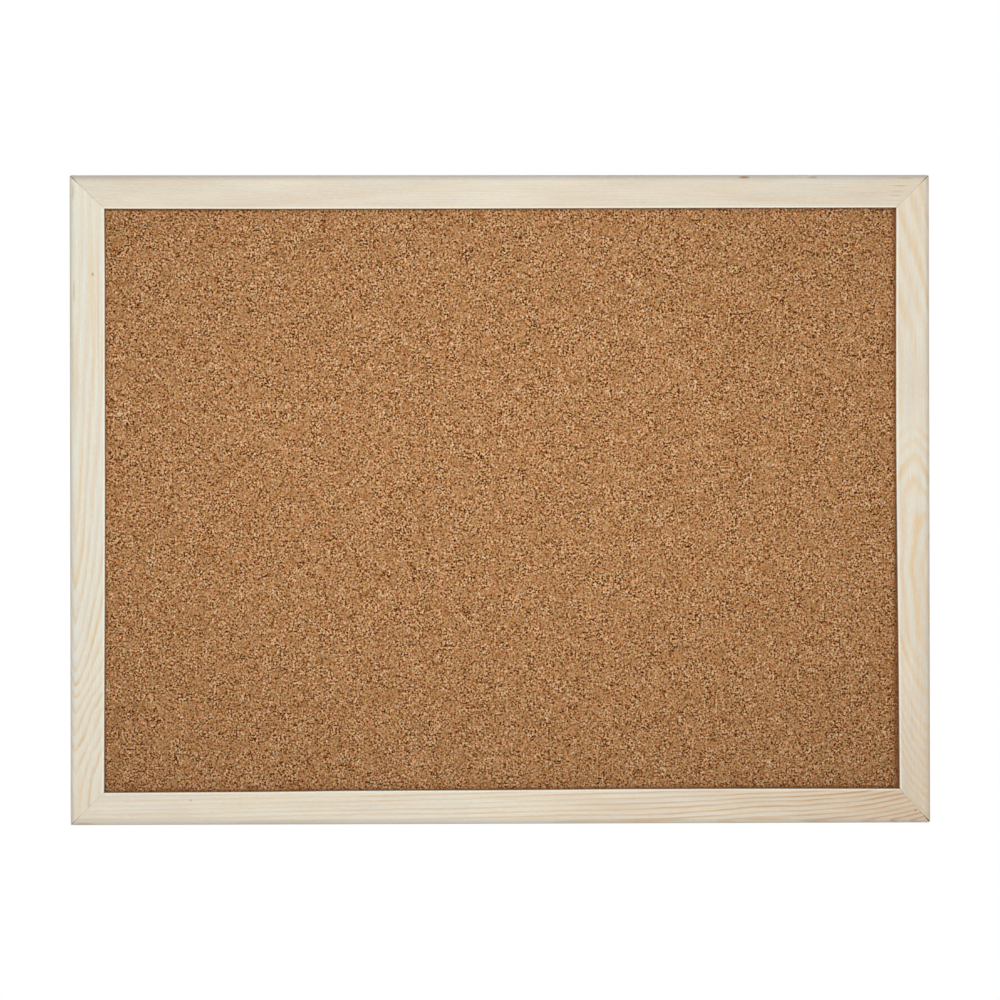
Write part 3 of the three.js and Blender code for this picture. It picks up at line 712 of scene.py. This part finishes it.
def retaining_point(node, edge_place, inward):
    """A tongue from its tip inside the moulding to its rounded tail over the panel.

    The half width grows at 45 degrees from the tip, is even along the tongue, and falls on a quarter
    circle at the tail. The free part springs away from the panel.
    """
    inward = np.array(inward, dtype=float)
    shoulder, tail_start = POINT_WIDTH / 2 - POINT_EMBED, POINT_REACH - POINT_TAIL_ROUND
    run = np.concatenate([np.linspace(-POINT_EMBED, shoulder, 8, endpoint=False),
                          np.linspace(shoulder, tail_start, 16, endpoint=False),
                          POINT_REACH - POINT_TAIL_ROUND * (1 - np.sin(np.linspace(0, np.pi / 2, 9)))])
    past = np.clip(run - tail_start, 0, POINT_TAIL_ROUND)
    tail = POINT_TAIL_ROUND - np.sqrt(POINT_TAIL_ROUND**2 - past**2)
    half = np.minimum(run + POINT_EMBED, POINT_WIDTH / 2) - tail
    lift = POINT_SPRING * np.clip(run / POINT_REACH, 0, 1) ** 2
    middle = np.array(edge_place) + run[:, None] * inward
    path = np.stack([middle[:, 0], POINT_BACK - POINT_THICKNESS / 2 + lift, middle[:, 1]], 1)
    broad = np.array([-inward[1], 0.0, inward[0]])
    points, faces = closed_tube(strip_rings(path, broad, half, POINT_THICKNESS, POINT_EASE))
    return make_piece(node, points, faces, spring_steel, "board", node, "spring_steel")


spring_steel = steel_finish(
    "spring_steel", (0.25, 0.25, 0.26, 1), (0.38, 0.38, 0.39, 1), (900, 900, 3000), 0.34)
wall_x, wall_z = half_width - LAND_WIDTH, half_height - LAND_WIDTH
for count, x in enumerate(np.linspace(-1, 1, 3) * (half_width - POINT_END_MARGIN), 1):
    retaining_point(f"top_retaining_point_{count}", (x, wall_z), (0, -1))
    retaining_point(f"bottom_retaining_point_{count}", (-x, -wall_z), (0, 1))
for count, z in enumerate(np.linspace(-1, 1, 2) * (half_height - POINT_END_MARGIN), 1):
    retaining_point(f"left_retaining_point_{count}", (-wall_x, z), (1, 0))
    retaining_point(f"right_retaining_point_{count}", (wall_x, -z), (-1, 0))

# The V-nails: eight folded slips of spring steel, two across each mitre, driven in from behind until their
# edges are flush with the wood. They pull the joints shut while the glue sets.
V_NAIL_WING = 4
V_NAIL_THICKNESS = 0.5
V_NAIL_DEPTH = 7
V_NAIL_BEND = 0.6
V_NAIL_EASE = 0.08
V_NAIL_OUTER = 3
V_NAIL_INNER = 6.5


def v_nail(node, corner, side_x, side_z, place):
    """A strip on edge that runs in along one length of moulding, turns at the mitre and runs out the other.

    The path is two straight wings of equal length that meet in a small round bend.
    """
    wing = np.linspace(place + V_NAIL_WING, place + V_NAIL_BEND, 8)
    still = np.full(8, float(place))
    turn = np.linspace(0, np.pi / 2, 9)[1:-1]
    bend_x = place + V_NAIL_BEND - V_NAIL_BEND * np.sin(turn)
    bend_z = place + V_NAIL_BEND - V_NAIL_BEND * np.cos(turn)
    along_x = np.concatenate([wing, bend_x, still])
    along_z = np.concatenate([still, bend_z, wing[::-1]])
    depth = np.full(len(along_x), -V_NAIL_DEPTH / 2)
    path = np.stack([corner[0] - side_x * along_x, depth, corner[1] - side_z * along_z], 1)
    on_edge = np.array([0.0, 1.0, 0.0])
    rings = strip_rings(path, on_edge, V_NAIL_DEPTH / 2, V_NAIL_THICKNESS, V_NAIL_EASE)
    points, faces = closed_tube(rings)
    return make_piece(node, points, faces, spring_steel, "board", node, "spring_steel")


for name_z, side_z in (("top", 1), ("bottom", -1)):
    for name_x, side_x in (("left", -1), ("right", 1)):
        corner = (side_x * half_width, side_z * half_height)
        v_nail(f"v_nail_{name_z}_{name_x}_outer", corner, side_x, side_z, V_NAIL_OUTER)
        v_nail(f"v_nail_{name_z}_{name_x}_inner", corner, side_x, side_z, V_NAIL_INNER)

# The hangers: a zinc-plated strap folded round the straight bar of a wire ring and fixed to the back of
# each stile by one pan-head screw. The ring swings in the fold, and hooks or a cord go through it.
HANGER_Z = 51
PIVOT_X = 190.6
PIVOT_Y = 1.75
SEAT_Y = 0.1
STRAP_WIDTH = 6
STRAP_METAL = 0.7
STRAP_LENGTH = 8.6
STRAP_END_ROUND = 2.2
STRAP_EASE = 0.14
UPPER_LAYER = 1.25
LOOP_RADIUS = 1.3
RING_WIRE = 1.5
RING_HALF = 4.25
RING_BEND = 1.3
RING_LEG = 4.8
RING_END_GAP = 0.3
SCREW_X = 195.5
SCREW_HEAD_SEAT = 1.8
SCREW_HEAD_RADIUS = 2.3
SCREW_HEAD_HEIGHT = 1.6
SCREW_LENGTH = 9
SCREW_CORE = 0.9
THREAD_DEPTH = 0.4
THREAD_PITCH = 1.2
SCREW_AROUND = 96
RECESS_ROWS = 34
RECESS_ARM = 1.3
RECESS_HALF_WIDTH = 0.3
RECESS_DEPTH = 0.85


def even_path(points, step, soften):
    """A path's points at an even step, with its corners softened by a running mean over a length."""
    reach = np.concatenate([[0], np.cumsum(np.linalg.norm(np.diff(points, axis=0), axis=1))])
    count = round(reach[-1] / step) + 1
    even = np.stack([np.interp(np.linspace(0, reach[-1], count), reach, points[:, k]) for k in range(2)], 1)
    width = max(1, round(soften / step)) * 2 + 1
    padded = np.concatenate([2 * even[:1] - even[width:0:-1], even, 2 * even[-1:] - even[-2:-width - 2:-1]])
    mean = np.stack([np.convolve(padded[:, k], np.ones(width) / width, "same") for k in range(2)], 1)
    return mean[width:-width]


def hanger_strap(node, side):
    """A strip from the tip of the lower layer, round the ring's bar and back over itself to the upper tip.

    Seen from the edge it is a straight line, most of a circle and a second line 0.9 mm above the first;
    both tips are rounded in plan.
    """
    height = STRAP_METAL / 2
    turn = np.radians(np.linspace(-90, -378, 90))
    loop = np.stack([LOOP_RADIUS * np.cos(turn), PIVOT_Y - SEAT_Y + LOOP_RADIUS * np.sin(turn)], 1)
    route = np.concatenate([[[STRAP_LENGTH, height]], loop, [[STRAP_LENGTH, UPPER_LAYER]]])
    path = even_path(route, 0.11, 0.33)
    past = np.clip(path[:, 0] - (STRAP_LENGTH - STRAP_END_ROUND), 0, STRAP_END_ROUND)
    half = STRAP_WIDTH / 2 - STRAP_END_ROUND + np.sqrt(STRAP_END_ROUND**2 - past**2)
    placed = np.stack([side * (PIVOT_X + path[:, 0]), SEAT_Y + path[:, 1], np.full(len(path), HANGER_Z)], 1)
    upright = np.array([0.0, 0.0, 1.0])
    points, faces = closed_tube(strip_rings(placed, upright, half, STRAP_METAL, STRAP_EASE))
    return make_piece(node, points, faces, zinc_plate, "board", node, "zinc_plate")


def hanger_ring(node, side, body):
    """A round wire carried along a D: half the bar, a bend, a leg, a half circle and the same way back."""
    gap, half = RING_END_GAP / 2, RING_HALF
    route = np.concatenate([
        [[gap, 0]],
        arc((half - RING_BEND, -RING_BEND), RING_BEND, 90, 0, 16),
        arc((0, -RING_LEG), half, 0, -180, 64),
        arc((RING_BEND - half, -RING_BEND), RING_BEND, 180, 90, 16),
        [[RING_BEND - half, 0], [-gap, 0]],
    ])
    path = even_path(route, 0.16, 0.16)
    heading = np.gradient(path, axis=0)
    heading /= np.linalg.norm(heading, axis=1, keepdims=True)
    turn = np.linspace(0, 2 * np.pi, 24, endpoint=False)
    out = RING_WIRE / 2 * np.cos(turn)
    ends = np.minimum(np.arange(len(path)), np.arange(len(path))[::-1])
    scale = np.where(ends == 0, 0.86, 1.0)[:, None]
    sideways = np.stack([-heading[:, 1], heading[:, 0]], 1)
    flat = path[:, None, :] + (scale * out)[..., None] * sideways[:, None, :]
    rise = scale * RING_WIRE / 2 * np.sin(turn)
    rings = np.stack([side * (PIVOT_X + flat[..., 1]), PIVOT_Y + rise, HANGER_Z + flat[..., 0]], -1)
    points, faces = closed_tube(rings)
    return make_piece(node, points, faces, zinc_plate, body, node, "zinc_plate")


def hanger_screw(node, side):
    """A pan-head wood screw as radius and height over rows and turns.

    From the tip up, the radius is the tapering core plus a helical ridge, then the flat under the head and
    a rounded head, whose top sinks by the tapered arms of a cross recess.
    """
    turn = np.linspace(0, 2 * np.pi, SCREW_AROUND, endpoint=False)
    shank = np.linspace(-SCREW_LENGTH + 0.05, -0.05, 120)
    core = SCREW_CORE * np.clip((shank + SCREW_LENGTH) / 2.4, 0.03, 1) ** 0.8
    turns = shank[:, None] / THREAD_PITCH + turn / (2 * np.pi)
    ridge = np.clip(1 - np.abs(turns - np.round(turns)) / 0.3, 0, 1)
    fade = np.clip((shank + SCREW_LENGTH) / 1.5, 0, 1) * np.clip((-1.4 - shank) / 0.8, 0, 1)
    shank_radius = core[:, None] + THREAD_DEPTH * ridge * fade[:, None]
    shank_height = np.broadcast_to(shank[:, None], shank_radius.shape)
    lift = np.linspace(0, np.pi / 2, 26)[:, None]
    head_radius = SCREW_HEAD_RADIUS * np.cos(lift) ** 0.7
    head_height = SCREW_HEAD_HEIGHT * np.sin(lift) ** 0.8
    inner = np.linspace(1.5, 0.05, RECESS_ROWS)[:, None]
    fits = np.interp(inner[::-1], head_radius[::-1, 0], head_height[::-1, 0])[::-1]
    keep = head_radius[:, 0] > 1.52
    even = np.ones(SCREW_AROUND)
    radius = np.concatenate([head_radius[keep], inner]) * even
    height = np.concatenate([head_height[keep], fits]) * even
    a, b = np.abs(radius * np.cos(turn)), np.abs(radius * np.sin(turn))
    arm_a = np.maximum(a - RECESS_ARM, b - RECESS_HALF_WIDTH)
    arm_b = np.maximum(b - RECESS_ARM, a - RECESS_HALF_WIDTH)
    arm = np.minimum(arm_a, arm_b)
    height = height - RECESS_DEPTH * np.clip(0.5 - arm / 0.24, 0, 1) * np.clip(1.25 - radius / 2.2, 0, 1)
    rim = SCREW_HEAD_RADIUS * np.array([[0.5], [0.97]]) * even
    radius = np.concatenate([shank_radius, rim, radius])
    height = SCREW_HEAD_SEAT + np.concatenate([shank_height, 0 * rim, height])
    x, z = side * SCREW_X + radius * np.cos(turn), HANGER_Z + radius * np.sin(turn)
    rings = np.stack([x, height, z], -1)
    points, faces = closed_tube(rings)
    return make_piece(node, points, faces, zinc_plate, "board", node, "zinc_plate")


zinc_plate = steel_finish(
    "zinc_plate", (0.42, 0.43, 0.45, 1), (0.58, 0.58, 0.58, 1), (2600, 900, 900), 0.26)
for name_x, side in (("left", -1), ("right", 1)):
    hanger_strap(f"{name_x}_hanger_strap", side)
    hanger_ring(f"{name_x}_hanger_ring", side, f"{name_x}_ring")
    hanger_screw(f"{name_x}_hanger_screw", side)

# The studio: a pale floor well below the hung board, a soft lamp in front of it and a little above, a larger
# one behind it, and an even white surround. The camera stands square to the board.
FLOOR_Z = -0.45
FLOOR_RADIUS = 12.0
FLOOR_AROUND = 96
FLOOR_RINGS = 30
SURROUND_LIGHT = 0.37
LENS = 84.95
CAMERA_PLACE = (-0.01144, -1.11079, -0.0014)
CAMERA_YAW = 0.582
CAMERA_PITCH = 0.058
CAMERA_ROLL = -0.108


def floor_disc():
    """A flat disc as rings of growing radius round one middle point."""
    turn = np.linspace(0, 2 * np.pi, FLOOR_AROUND, endpoint=False)
    radius = np.geomspace(0.1, FLOOR_RADIUS, FLOOR_RINGS)
    flat = np.stack([np.outer(radius, np.cos(turn)), np.outer(radius, np.sin(turn))], -1).reshape(-1, 2)
    points = np.concatenate([flat, np.zeros((1, 2))])
    around = np.arange(FLOOR_AROUND)
    after = np.roll(around, -1)
    ring = FLOOR_AROUND * np.arange(FLOOR_RINGS - 1)[:, None]
    next_ring = ring + FLOOR_AROUND
    quads = np.stack([ring + around, next_ring + around, next_ring + after, ring + after], -1).reshape(-1, 4)
    fan = np.stack([around, after, np.full(FLOOR_AROUND, len(points) - 1)], 1)
    mesh = bpy.data.meshes.new("floor")
    mesh.from_pydata([(x, y, FLOOR_Z) for x, y in points.tolist()], [], quads.tolist() + fan.tolist())
    floor = bpy.data.objects.new("floor", mesh)
    bpy.context.scene.collection.objects.link(floor)
    return floor


def floor_finish():
    """Pale matt floor that takes shadows near the board and goes over to white further out."""
    material, tree, surface = new_finish("floor")
    place = tree.node("TexCoord", out="Object")
    level = place.stretch(1, 1, 0)
    away = level.node("VectorMath", {"operation": "LENGTH"}, {0: level}, "Value")
    path = tree.node("LightPath", out="Is Camera Ray")
    mirrored = path.math("MAXIMUM", path.other("Is Glossy Ray"), path.other("Is Transmission Ray"))
    seen = path.math("MAXIMUM", path, mirrored)
    white = tree.node("Emission", {}, {"Color": (1, 1, 1, 1), "Strength": 1.0})
    plain = Wire(tree.tree, surface.outputs["BSDF"])
    share = (away.step(0.25, 0.85) * 0.5 + 0.5) * seen
    surface.inputs["Base Color"].default_value = (0.86, 0.86, 0.855, 1)
    surface.inputs["Roughness"].default_value = 0.9
    shown = share.node("MixShader", {}, {0: share, 1: plain, 2: white})
    output = tree.tree.nodes["Material Output"]
    tree.tree.links.new(shown.socket, output.inputs["Surface"])
    return material


def soft_lamp(name, place, size, power):
    """A square lamp that faces the board's middle."""
    lamp = bpy.data.lights.new(name, "AREA")
    lamp.size = size
    lamp.energy = power
    holder = bpy.data.objects.new(name, lamp)
    holder.location = place
    holder.rotation_euler = (-Vector(place)).to_track_quat("-Z", "Y").to_euler()
    bpy.context.scene.collection.objects.link(holder)


floor = floor_disc()
floor.data.materials.append(floor_finish())
soft_lamp("front_lamp", (0.0, -0.95, 0.19), 0.5, 5.38)
soft_lamp("back_lamp", (0.5, 2.0, 0.9), 2.4, 29.0)

world = bpy.data.worlds.new("surround")
world.use_nodes = True
bpy.context.scene.world = world
sky = Wire(world.node_tree)
ray = sky.node("LightPath", out="Is Camera Ray")
mirrored = ray.math("MAXIMUM", ray.other("Is Glossy Ray"), ray.other("Is Transmission Ray"))
direct = ray.math("MAXIMUM", ray, mirrored)
background = world.node_tree.nodes["Background"]
background.inputs["Color"].default_value = (1, 1, 1, 1)
strength = direct * (1 - SURROUND_LIGHT) + SURROUND_LIGHT
world.node_tree.links.new(strength.socket, background.inputs["Strength"])

yaw, pitch, roll = (math.radians(angle) for angle in (CAMERA_YAW, CAMERA_PITCH, CAMERA_ROLL))
ahead = Vector((math.sin(yaw) * math.cos(pitch), math.cos(yaw) * math.cos(pitch), math.sin(pitch)))
level = Vector((math.cos(yaw), -math.sin(yaw), 0))
upward = level.cross(ahead)
right = math.cos(roll) * level + math.sin(roll) * upward
up = math.cos(roll) * upward - math.sin(roll) * level
camera_data = bpy.data.cameras.new("camera")
camera_data.lens = LENS
camera_data.sensor_width = 36.0
camera = bpy.data.objects.new("camera", camera_data)
camera.matrix_world = Matrix.Translation(CAMERA_PLACE) @ Matrix((right, up, -ahead)).transposed().to_4x4()
bpy.context.scene.collection.objects.link(camera)
bpy.context.scene.camera = camera
bpy.context.scene.view_settings.view_transform = "Standard"
